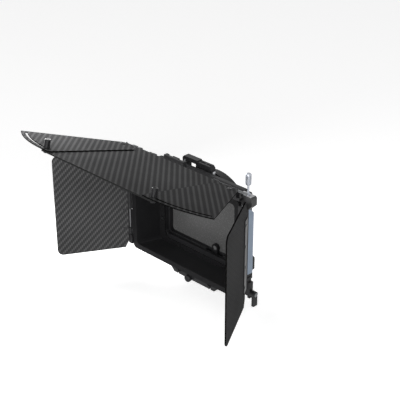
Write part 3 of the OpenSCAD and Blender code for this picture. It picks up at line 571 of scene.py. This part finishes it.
def wear_and_highlight_group():
    """Rubbed edges, which also paint a highlight on the edges: 1 where an edge is rubbed pale
    and painted bright, broken up by noise.
    """
    group, take, give = new_group(
        "Rubbed Edges And Painted Highlights",
        [("Vector", "NodeSocketVector", None), ("Width", "NodeSocketFloat", 0.0005),
         ("Amount", "NodeSocketFloat", 0.5)],
        [("Wear And Painted Highlight", "NodeSocketFloat")])
    bevel = add_node(group, "ShaderNodeBevel", samples=4)
    link(group, take.outputs["Width"], bevel.inputs["Radius"])
    surface = add_node(group, "ShaderNodeNewGeometry")
    # near an edge the rounded normal turns away from the face's own
    edge = cosine_mask(group, bevel.outputs[0], surface.outputs["Normal"], low=0.97, high=0.80)
    noise = noise_node(group, take.outputs["Vector"], scale=140, detail=6)
    broken = map_range(group, noise, 0.35, 0.65, to_low=0.25, to_high=1.0)
    worn_and_highlit = math_node(group, "MULTIPLY", edge, broken)
    link(group, math_node(group, "MULTIPLY", worn_and_highlit, take.outputs["Amount"], clamp=True),
         give.inputs["Wear And Painted Highlight"])
    return group


def cloudy_group():
    """Uneven tone: a colour that soft clouds make a little darker and lighter."""
    group, take, give = new_group(
        "Cloudy Tone",
        [("Color", "NodeSocketColor", None), ("Cloud", "NodeSocketFloat", 0.5),
         ("Darkest", "NodeSocketFloat", 0.85), ("Lightest", "NodeSocketFloat", 1.15)],
        [("Color", "NodeSocketColor")])
    uneven = map_range(group, take.outputs["Cloud"], *NOISE_SPAN, take.outputs["Darkest"],
                       take.outputs["Lightest"])
    link(group, mix_colour(group, 1.0, take.outputs["Color"], shade_colour(group, uneven),
                           "MULTIPLY"), give.inputs["Color"])
    return group


def facing_group():
    """1 where a face looks along a direction of its own piece, 0 where it looks elsewhere."""
    group, take, give = new_group(
        "Facing Mask",
        [("Normal", "NodeSocketVector", None), ("Direction", "NodeSocketVector", None),
         ("Low", "NodeSocketFloat", 0.8), ("High", "NodeSocketFloat", 0.95)],
        [("Mask", "NodeSocketFloat")])
    normal, direction, low, high = take.outputs[:4]
    link(group, cosine_mask(group, normal, direction, low, high), give.inputs["Mask"])
    return group


def dust_and_sheen_group():
    """A dusty look and a painted sheen, in patches on level faces."""
    group, take, give = new_group(
        "Settled Dust",
        [("Normal", "NodeSocketVector", None), ("Cloud", "NodeSocketFloat", 0.5)],
        [("Dust And Painted Sheen", "NodeSocketFloat")])
    level = cosine_mask(group, take.outputs["Normal"], (0, 0, 1), low=0.6, high=0.95)
    patches = map_range(group, take.outputs["Cloud"], *NOISE_SPAN, to_low=0.6, to_high=1.0)
    link(group, math_node(group, "MULTIPLY", level, patches), give.inputs["Dust And Painted Sheen"])
    return group


def use_group(tree, group, **values):
    """Places a node group with its own values; an underscore stands for a space."""
    node = add_node(tree, "ShaderNodeGroup", node_tree=group)
    for key, value in values.items():
        feed(tree, node.inputs[key.replace("_", " ")], value)
    return node


# Materials

def start_material(name, roughness, metallic=0.0, specular=0.5):
    material = bpy.data.materials.new(name)
    material.use_nodes = True
    tree = material.node_tree
    shader = tree.nodes["Principled BSDF"]
    shader.inputs["Roughness"].default_value = roughness
    shader.inputs["Metallic"].default_value = metallic
    shader.inputs["Specular IOR Level"].default_value = specular
    coords = add_node(tree, "ShaderNodeTexCoord").outputs
    return material, tree, shader, coords


def add_bump(tree, shader, height, distance, strength):
    bump = add_node(tree, "ShaderNodeBump")
    bump.inputs["Distance"].default_value = distance
    bump.inputs["Strength"].default_value = strength
    link(tree, height, bump.inputs["Height"])
    link(tree, bump.outputs[0], shader.inputs["Normal"])


def vary_roughness(tree, shader, noise, smoothest, roughest, span=NOISE_SPAN):
    """Lets the roughness follow a noise over a span of its values."""
    rough = map_range(tree, noise, *span, smoothest, roughest)
    link(tree, rough, shader.inputs["Roughness"])


def carbon_material(name, place, turn, looks, groups, cut_edge_colour_and_shadow=0.003):
    """Carbon twill in the plane of a panel: place and turn bring the panel's plane to X-Y.

    The cut shade is the dark colour of the panel's cut edges, which also paints the shadow line
    along them.
    """
    material, tree, shader, coords = start_material(name, 0.5, specular=looks.carbon_gloss)
    mapping = add_node(tree, "ShaderNodeMapping", vector_type="TEXTURE")
    mapping.inputs["Location"].default_value = place
    mapping.inputs["Rotation"].default_value = turn
    link(tree, coords["Object"], mapping.inputs["Vector"])
    weave = use_group(tree, groups["twill"], Vector=mapping.outputs[0],
                      Tow_Width=looks.tow_width).outputs
    grain = use_group(tree, groups["grain"], Vector=coords["Object"], Scale=1400.0,
                      Cloud_Scale=9.0).outputs
    # The light and dark tow colours paint the tows' sheen, and the tow shade paints shade where
    # each tow dips under the next.
    tone = mix_colour(tree, weave["Lengthwise"], looks.carbon_dark, looks.carbon_light)
    shade = map_range(tree, weave["Shade"], 0.0, 1.0, 0.55, 1.0)
    tone = mix_colour(tree, 1.0, tone, shade_colour(tree, shade), "MULTIPLY")
    tone = use_group(tree, groups["cloudy"], Color=tone, Cloud=grain["Cloud"], Darkest=0.85,
                     Lightest=1.15).outputs[0]
    outward = Euler(turn).to_matrix() @ Vector((0, 0, 1))
    front, back = (use_group(tree, groups["facing"], Normal=coords["Normal"],
                             Direction=direction, Low=0.75, High=0.92).outputs[0]
                   for direction in (outward, -outward))
    flat = math_node(tree, "MAXIMUM", front, back)
    # Cut edges take the dark cut colour: partly their own colour, partly a painted shadow line.
    link(tree, mix_colour(tree, flat, (cut_edge_colour_and_shadow, cut_edge_colour_and_shadow, cut_edge_colour_and_shadow), tone),
         shader.inputs["Base Color"])
    vary_roughness(tree, shader, grain["Grain"], 0.44, 0.58, span=(0.2, 0.8))
    add_bump(tree, shader, weave["Height"], distance=0.00010, strength=0.5)
    return material


def metal_material(name, groups, colour, worn_and_highlight_colour, roughness, metallic, wear_and_highlight, specular=0.5,
                   painted_top_light=None):
    """Anodised or bare metal: blasted grain, cloudy roughness, and rubbed edges that also paint
    an edge highlight.

    A top colour, where given, is painted light on the faces that lie level.
    """
    material, tree, shader, coords = start_material(name, roughness, metallic, specular)
    texture = use_group(tree, groups["grain"], Vector=coords["Object"], Scale=2600.0,
                        Cloud_Scale=45.0).outputs
    worn_and_highlit = use_group(tree, groups["wear_and_highlight"], Vector=coords["Object"], Width=0.0006,
                     Amount=wear_and_highlight).outputs["Wear And Painted Highlight"]
    # Painted light: level faces take the paler top colour, as if lit from above.
    if painted_top_light is not None:
        level = use_group(tree, groups["facing"], Normal=coords["Normal"],
                          Direction=(0, 0, 1), Low=0.90, High=0.98).outputs[0]
        colour = mix_colour(tree, level, colour, painted_top_light)
    tone = use_group(tree, groups["cloudy"], Color=colour, Cloud=texture["Cloud"],
                     Darkest=0.85, Lightest=1.15).outputs[0]
    # Rubbed edges take the paler edge colour, which is also a painted edge highlight.
    link(tree, mix_colour(tree, worn_and_highlit, tone, worn_and_highlight_colour), shader.inputs["Base Color"])
    vary_roughness(tree, shader, texture["Cloud"], roughness - 0.06, roughness + 0.06)
    add_bump(tree, shader, texture["Grain"], distance=0.00001, strength=0.6)
    return material


def composite_material(name, groups, colour, roughness):
    """Matte moulded composite with a spark-eroded grain, a dusty look and painted sheen on level
    faces, and paler rubbed edges that also paint an edge highlight.
    """
    material, tree, shader, coords = start_material(name, roughness, specular=0.08)
    texture = use_group(tree, groups["grain"], Vector=coords["Object"], Scale=1600.0,
                        Cloud_Scale=25.0).outputs
    worn_and_highlit = use_group(tree, groups["wear_and_highlight"], Vector=coords["Object"], Width=0.0008,
                     Amount=0.25).outputs["Wear And Painted Highlight"]
    tone = use_group(tree, groups["cloudy"], Color=colour, Cloud=texture["Cloud"],
                     Darkest=0.85, Lightest=1.2).outputs[0]
    # Painted sheen: level faces turn paler in patches, partly a dusty film and partly a painted
    # sheen.
    dust_and_sheen = use_group(tree, groups["dust_and_sheen"], Normal=coords["Normal"],
                     Cloud=texture["Cloud"]).outputs[0]
    tone = mix_colour(tree, dust_and_sheen, tone, tuple(2.2 * c + 0.004 for c in colour))
    # The pale colour on rubbed edges is also a painted edge highlight.
    pale = tuple(4 * c + 0.01 for c in colour)
    link(tree, mix_colour(tree, worn_and_highlit, tone, pale), shader.inputs["Base Color"])
    vary_roughness(tree, shader, texture["Grain"], roughness - 0.08, roughness + 0.08)
    add_bump(tree, shader, texture["Grain"], distance=0.00003, strength=0.7)
    return material


def rubber_material(name, groups):
    """Black rubber with a dull, grained skin."""
    material, tree, shader, coords = start_material(name, 0.8)
    texture = use_group(tree, groups["grain"], Vector=coords["Object"], Scale=900.0,
                        Cloud_Scale=30.0).outputs
    tone = map_range(tree, texture["Cloud"], *NOISE_SPAN, 0.010, 0.020)
    link(tree, shade_colour(tree, tone), shader.inputs["Base Color"])
    vary_roughness(tree, shader, texture["Grain"], 0.70, 0.88)
    add_bump(tree, shader, texture["Grain"], distance=0.00003, strength=0.6)
    return material


def glass_material(name, groups, colour):
    """Neutral grey filter glass, coated and a little dusty."""
    material, tree, shader, coords = start_material(name, 0.3, specular=0.12)
    shader.inputs["Transmission Weight"].default_value = 0.05
    shader.inputs["IOR"].default_value = 1.5
    texture = use_group(tree, groups["grain"], Vector=coords["Object"], Scale=700.0,
                        Cloud_Scale=14.0).outputs
    tone = use_group(tree, groups["cloudy"], Color=colour, Cloud=texture["Cloud"],
                     Darkest=0.94, Lightest=1.06).outputs[0]
    link(tree, tone, shader.inputs["Base Color"])
    vary_roughness(tree, shader, texture["Grain"], 0.26, 0.34, span=(0.55, 0.75))
    return material


MATERIALS = {}


def build_materials(looks):
    groups = {"twill": twill_group(), "grain": grain_group(), "wear_and_highlight": wear_and_highlight_group(),
              "cloudy": cloudy_group(), "facing": facing_group(), "dust_and_sheen": dust_and_sheen_group()}
    MATERIALS.update({
        "anodised": metal_material(
            "Black anodised metal", groups, colour=looks.anodised_colour,
            worn_and_highlight_colour=(0.10, 0.10, 0.104), roughness=0.42, metallic=0.0, wear_and_highlight=0.4,
            specular=0.2),
        "composite": composite_material(
            "Moulded composite", groups, colour=looks.composite_colour, roughness=0.55),
        "steel": metal_material(
            "Turned steel", groups, colour=(0.55, 0.56, 0.58), worn_and_highlight_colour=(0.8, 0.8, 0.8),
            roughness=0.28, metallic=1.0, wear_and_highlight=0.3),
        "plunger_steel": metal_material(
            "Knurled steel", groups, colour=(0.42, 0.44, 0.48), worn_and_highlight_colour=(0.6, 0.62, 0.65),
            roughness=0.3, metallic=0.55, wear_and_highlight=0.15),
        "black_steel": metal_material(
            "Black oxide steel", groups, colour=(0.03, 0.03, 0.032),
            worn_and_highlight_colour=(0.3, 0.3, 0.3), roughness=0.35, metallic=0.9, wear_and_highlight=0.35),
        "dark_steel": metal_material(
            "Dull steel", groups, colour=(0.16, 0.165, 0.17), worn_and_highlight_colour=(0.5, 0.5, 0.5),
            roughness=0.32, metallic=1.0, wear_and_highlight=0.3),
        "pin_steel": metal_material(
            "Pin steel", groups, colour=(0.13, 0.13, 0.135), worn_and_highlight_colour=(0.3, 0.3, 0.3),
            roughness=0.4, metallic=1.0, wear_and_highlight=0.1),
        "black_knob": metal_material(
            "Knurled black metal", groups, colour=(0.01, 0.01, 0.011),
            worn_and_highlight_colour=(0.22, 0.22, 0.225), roughness=0.35, metallic=0.0, wear_and_highlight=0.12,
            specular=0.15),
        # The block's pale top colour is painted light on its level faces.
        "block": metal_material(
            "Satin black metal, painted top light", groups, colour=(0.03, 0.03, 0.031),
            worn_and_highlight_colour=(0.25, 0.25, 0.255), roughness=0.4, metallic=0.0, wear_and_highlight=0.6,
            specular=0.35, painted_top_light=(0.42, 0.42, 0.43)),
        "pad": composite_material(
            "Friction pad", groups, colour=(0.09, 0.09, 0.092), roughness=0.7),
        "rail": metal_material(
            "Blue-grey anodised", groups, colour=looks.rail_colour,
            worn_and_highlight_colour=(0.5, 0.55, 0.62), roughness=0.38, metallic=0.6, wear_and_highlight=0.5),
        "rubber": rubber_material("Seal rubber", groups),
        "glass": glass_material("Grey filter glass", groups, colour=looks.filter_colour),
        "carbon_top": carbon_material(
            "Carbon twill, top flag", HINGE, (FLAG_TILT, 0, 0), looks, groups, cut_edge_colour_and_shadow=0.02),
    })
    for side, label in SIDES:
        MATERIALS["carbon_" + label] = carbon_material(
            f"Carbon twill, {label} flag", (side * SIDE_AXIS.x, SIDE_AXIS.y, 0),
            (RIGHT_ANGLE, 0, side * SIDE_FLARE - RIGHT_ANGLE), looks, groups)
    for side, label in SIDES:
        MATERIALS["carbon_fan_" + label] = carbon_material(
            f"Carbon twill, {label} fan", FLAG_FRAME @ Vector((side * WING_X, WING_PIVOT_Y, 0)),
            (FLAG_TILT, 0, side * FAN_TURN), looks, groups)


MATERIAL_OF_SLOT = {"black_anodised": "anodised", "black_plastic": "composite",
                    "steel": "steel", "rubber": "rubber", "rail_anodised": "rail",
                    "filter_glass": "glass"}

# Nodes that don't take the material of their slot
FINISH_OF_NODE = {"hinge_end_block_left": "block", "hinge_end_block_right": "block",
                  "hood_screws": "black_steel", "leaf_rivets_left": "black_steel",
                  "leaf_rivets_right": "black_steel", "filter_lock_screw": "black_steel",
                  "lever_screw": "dark_steel", "wing_studs": "black_knob",
                  "flag_pins": "pin_steel", "top_hinge_pins": "dark_steel",
                  "ring_screws": "black_steel"}

CARBON_OF_NODE = {"top_flag_plate": "carbon_top", "wing_left": "carbon_fan_left",
                  "wing_right": "carbon_fan_right", "side_flag_left": "carbon_left",
                  "side_flag_right": "carbon_right"}

MACHINED_NODES = (
    "hood_shell", "front_mask", "tray_rail_left", "tray_rail_right", "stage_floor", "rear_plate",
    "lens_ring", "filter_tray", "filter_lock", "tray_handle", "tray_latch", "top_hinge_base",
    "hinge_end_block_left", "hinge_end_block_right", "top_flag_leaf", "flag_brackets_left",
    "flag_brackets_right", "flag_leaf_left", "flag_leaf_right", "swing_ear", "swing_arm",
    "rod_clamp", "lock_lever")

# Width of the broken edges of each fastener, in millimetres
FASTENER_EDGES = {"hood_screws": 0.4, "handle_screws": 0.3, "ring_screws": 0.2,
                  "leaf_rivets_left": 0.5, "leaf_rivets_right": 0.5, "filter_lock_screw": 0.2,
                  "lever_screw": 0.4, "wing_studs": 0.3, "top_hinge_pins": 0.4,
                  "flag_pins": 0.4, "swing_pin": 0.4}


# Steps

class MATTEBOX_OT_materials(bpy.types.Operator):
    """Makes the node groups and the materials of every finish"""

    bl_idname = "mattebox.materials"
    bl_label = "Make materials"

    def execute(self, context):
        build_materials(context.scene.matte_box_looks)
        for name, node in frame["nodes"].items():
            slot = SLOT_OF[name]
            if slot in MATERIAL_OF_SLOT:
                dress(node, MATERIALS[MATERIAL_OF_SLOT[slot]])
        return {"FINISHED"}


class MATTEBOX_OT_carbon_flags(bpy.types.Operator):
    """Dresses the top flag, its fan wings and the side flags in carbon twill"""

    bl_idname = "mattebox.carbon_flags"
    bl_label = "Dress carbon flags"

    def execute(self, context):
        for node, key in CARBON_OF_NODE.items():
            panel = softened_copy(node, "carbon_" + node, MATERIALS[key], CARBON_EDGE)
            if node.startswith("wing"):
                # the gap keeps the turning wings off the plate
                panel.location = FLAG_FRAME.to_3x3() @ Vector((0, 0, SLIDING_GAP))
                settle(panel)
        return {"FINISHED"}


class MATTEBOX_OT_machined_pieces(bpy.types.Operator):
    """Breaks the edges of the machined and moulded pieces and adds the hood's hinge fins"""

    bl_idname = "mattebox.machined_pieces"
    bl_label = "Break edges"

    def execute(self, context):
        width = context.scene.matte_box_looks.edge_width
        for node in MACHINED_NODES:
            material = MATERIALS[FINISH_OF_NODE.get(node, MATERIAL_OF_SLOT[SLOT_OF[node]])]
            softened_copy(node, "finished_" + node, material, width)
        for side, label in SIDES:
            hinge_seal("hinge_seal_" + label, side, MATERIALS["composite"])
        return {"FINISHED"}


class MATTEBOX_OT_knobs(bpy.types.Operator):
    """Models the knurled knobs and the release plunger"""

    bl_idname = "mattebox.knobs"
    bl_label = "Model knobs"

    def execute(self, context):
        for side, label in SIDES:
            self.put("wing_knob_" + label, FAN_KNOB, on_wing(side, WING_KNOB_Y, WING_KNOB_FOOT),
                     ribs=20, low=0.5, high=11.2)
        self.put("rod_lock_knob", ROD_KNOB, Matrix.Translation(ROD_KNOB_PLACE)
                 @ Matrix.Rotation(RIGHT_ANGLE, 4, "X"), ribs=26, low=0.5, high=4.3)
        self.put("ring_clamp_screw", RING_SCREW, Matrix.Translation(RING_SCREW_PLACE)
                 @ Matrix.Rotation(2 * RIGHT_ANGLE, 4, "X"), ribs=22, low=8, high=15)
        self.put("release_plunger", PLUNGER, Matrix.Translation(PLUNGER_PLACE),
                 ribs=18, low=21.6, high=33.6, finish="plunger_steel", depth=0.0005)
        return {"FINISHED"}

    def put(self, node, profile, place, ribs, low, high, finish="black_knob", depth=0.0004):
        knob = knurled(node + "_turned", profile, ribs, low, high, depth)
        settle(knob, place)
        mount(knob, BODY_OF[node], SLOT_OF[node], MATERIALS[finish], node)


class MATTEBOX_OT_fasteners(bpy.types.Operator):
    """Models the pivot screws with their nuts, the lock's pad, and rounds the other fasteners"""

    bl_idname = "mattebox.fasteners"
    bl_label = "Model fasteners"

    def execute(self, context):
        screw = socket_screw("pivot_screw", head_radius=3.2 * MM, head_height=1.4 * MM,
                             socket_radius=1.4 * MM, shank_radius=1.6 * MM,
                             shank_length=6 * MM)
        nut = turned("pivot_nut", radius=3.4 * MM, length=2.6 * MM, sides=6)
        edit(nut)
        bevel_rim(nut, height=0, width=0.3 * MM, segments=2)
        leave_edit()
        nut.location.z = -6.2 * MM
        settle(nut)
        make_active(screw, nut)
        bpy.ops.object.join()
        screws = copies_at(screw, "pivot_screws_socketed",
                           [on_wing(side, WING_PIVOT_Y, PIVOT_SCREW_FOOT) for side, _ in SIDES])
        mount(screws, "top_flag", "steel", MATERIALS["black_steel"], "wing_pivot_screws")
        pad = turned_profile("lock_pad", 40, LOCK_PAD)
        smooth(pad)
        settle(pad, Matrix.Translation(LOCK_PAD_PLACE) @ Matrix.Rotation(RIGHT_ANGLE, 4, "X"))
        mount(pad, "lock_button", "black_plastic", MATERIALS["pad"])
        for node, width in FASTENER_EDGES.items():
            softened_copy(node, "rounded_" + node, MATERIALS[FINISH_OF_NODE.get(node, "steel")],
                          width * MM)
        return {"FINISHED"}


class MATTEBOX_OT_studio(bpy.types.Operator):
    """Sets the floor, the even light, the lamps and the camera"""

    bl_idname = "mattebox.studio"
    bl_label = "Set studio"

    def execute(self, context):
        studio = context.scene.matte_box_studio
        make_floor(studio)
        make_sky(studio)
        make_lamps(studio)
        make_camera(studio)
        context.scene.view_settings.view_transform = "Standard"
        return {"FINISHED"}


# Studio

OBJECT_MIDDLE = (0, -0.1, 0)
FLOOR_SIZE = 24
FLOOR_COLOUR = (0.75, 0.75, 0.75, 1)
FLOOR_GLOW = 0.62
WHITE = (1, 1, 1, 1)

# Name, place, aim, width and height, and power of each lamp
LAMPS = (
    ("front_lamp", (1.0, -1.9, 0.6), OBJECT_MIDDLE, (1.9, 1.6), 54),
    ("side_lamp", (-0.31, -0.10, 0.20), (0, -0.13, 0.1), (0.30, 0.30), 2.3),
    ("back_lamp", (0.9, 0.9, 0.3), OBJECT_MIDDLE, (0.8, 0.6), 1.0),
)


def is_seen(tree):
    """1 for what is seen, also in gloss or through glass, and 0 for the light it gives."""
    rays = add_node(tree, "ShaderNodeLightPath").outputs
    return math_node(tree, "MAXIMUM", rays["Is Camera Ray"],
                     math_node(tree, "MAXIMUM", rays["Is Glossy Ray"],
                               rays["Is Transmission Ray"]))


def add_glow(tree, kind, strength):
    """A white Emission or Background shader."""
    node = add_node(tree, kind)
    node.inputs["Color"].default_value = WHITE
    node.inputs["Strength"].default_value = strength
    return node.outputs[0]


def mix_shaders(tree, factor, first, second):
    node = add_node(tree, "ShaderNodeMixShader")
    for socket, source in zip(node.inputs, (factor, first, second)):
        link(tree, source, socket)
    return node.outputs[0]


def make_floor(studio):
    """A pale floor that is lifted towards white where it is seen, and keeps the shadow."""
    clear_selection()
    bpy.ops.mesh.primitive_plane_add(size=FLOOR_SIZE,
                                     location=(0, 0, cad_low.z - studio.floor_gap))
    floor = bpy.context.active_object
    floor.name = "studio_floor"
    settle(floor)
    material = bpy.data.materials.new("Pale floor")
    material.use_nodes = True
    tree = material.node_tree
    shader = tree.nodes["Principled BSDF"]
    shader.inputs["Base Color"].default_value = FLOOR_COLOUR
    shader.inputs["Roughness"].default_value = 0.9
    shader.inputs["Specular IOR Level"].default_value = 0.1
    lift = mix_shaders(tree, is_seen(tree), add_glow(tree, "ShaderNodeEmission", 0.0),
                       add_glow(tree, "ShaderNodeEmission", FLOOR_GLOW))
    total = add_node(tree, "ShaderNodeAddShader")
    link(tree, shader.outputs[0], total.inputs[0])
    link(tree, lift, total.inputs[1])
    link(tree, total.outputs[0], tree.nodes["Material Output"].inputs["Surface"])
    dress(floor, material)


def make_sky(studio):
    """Even light from all sides, which is white where it is seen."""
    world = bpy.data.worlds.new("Studio air")
    bpy.context.scene.world = world
    world.use_nodes = True
    tree = world.node_tree
    tree.nodes.clear()
    sky = mix_shaders(tree, is_seen(tree),
                      add_glow(tree, "ShaderNodeBackground", studio.sky_level),
                      add_glow(tree, "ShaderNodeBackground", 1.0))
    link(tree, sky, add_node(tree, "ShaderNodeOutputWorld").inputs["Surface"])


def make_lamps(studio):
    for name, place, aim, size, power in LAMPS:
        clear_selection()
        bpy.ops.object.light_add(type="AREA", location=place)
        lamp = bpy.context.active_object
        lamp.name = name
        lamp.data.shape = "RECTANGLE"
        lamp.data.size, lamp.data.size_y = size
        lamp.data.energy = power * studio.lamp_level
        lamp.rotation_euler = (Vector(aim) - Vector(place)).to_track_quat("-Z", "Y").to_euler()


def make_camera(studio):
    clear_selection()
    bpy.ops.object.camera_add(location=studio.camera_place)
    camera = bpy.context.active_object
    camera.name = "photo_camera"
    camera.rotation_euler = Euler((RIGHT_ANGLE - studio.elevation, 0, studio.azimuth))
    camera.data.lens = studio.focal_length
    camera.data.sensor_width = 36
    camera.data.clip_start = 0.05
    camera.data.clip_end = 60
    bpy.context.scene.camera = camera


class MATTEBOX_PT_panel(bpy.types.Panel):
    """Lists the steps and the settings"""

    bl_label = "Matte Box"
    bl_space_type = "VIEW_3D"
    bl_region_type = "UI"
    bl_category = "Matte Box"

    def draw(self, context):
        for step in STEPS:
            self.layout.operator(step.bl_idname)
        for settings in (context.scene.matte_box_looks, context.scene.matte_box_studio):
            for key in settings.__annotations__:
                self.layout.prop(settings, key)


STEPS = (MATTEBOX_OT_materials, MATTEBOX_OT_carbon_flags, MATTEBOX_OT_machined_pieces,
         MATTEBOX_OT_knobs, MATTEBOX_OT_fasteners, MATTEBOX_OT_studio)
CLASSES = (MatteBoxLooks, MatteBoxStudio, *STEPS, MATTEBOX_PT_panel)


def register():
    for kind in CLASSES:
        bpy.utils.register_class(kind)
    bpy.types.Scene.matte_box_looks = bpy.props.PointerProperty(type=MatteBoxLooks)
    bpy.types.Scene.matte_box_studio = bpy.props.PointerProperty(type=MatteBoxStudio)


def unregister():
    del bpy.types.Scene.matte_box_studio
    del bpy.types.Scene.matte_box_looks
    for kind in reversed(CLASSES):
        bpy.utils.unregister_class(kind)


def main():
    register()
    bpy.ops.mattebox.materials()
    bpy.ops.mattebox.carbon_flags()
    bpy.ops.mattebox.machined_pieces()
    bpy.ops.mattebox.knobs()
    bpy.ops.mattebox.fasteners()
    bpy.ops.mattebox.studio()


if __name__ == "__main__":
    main()
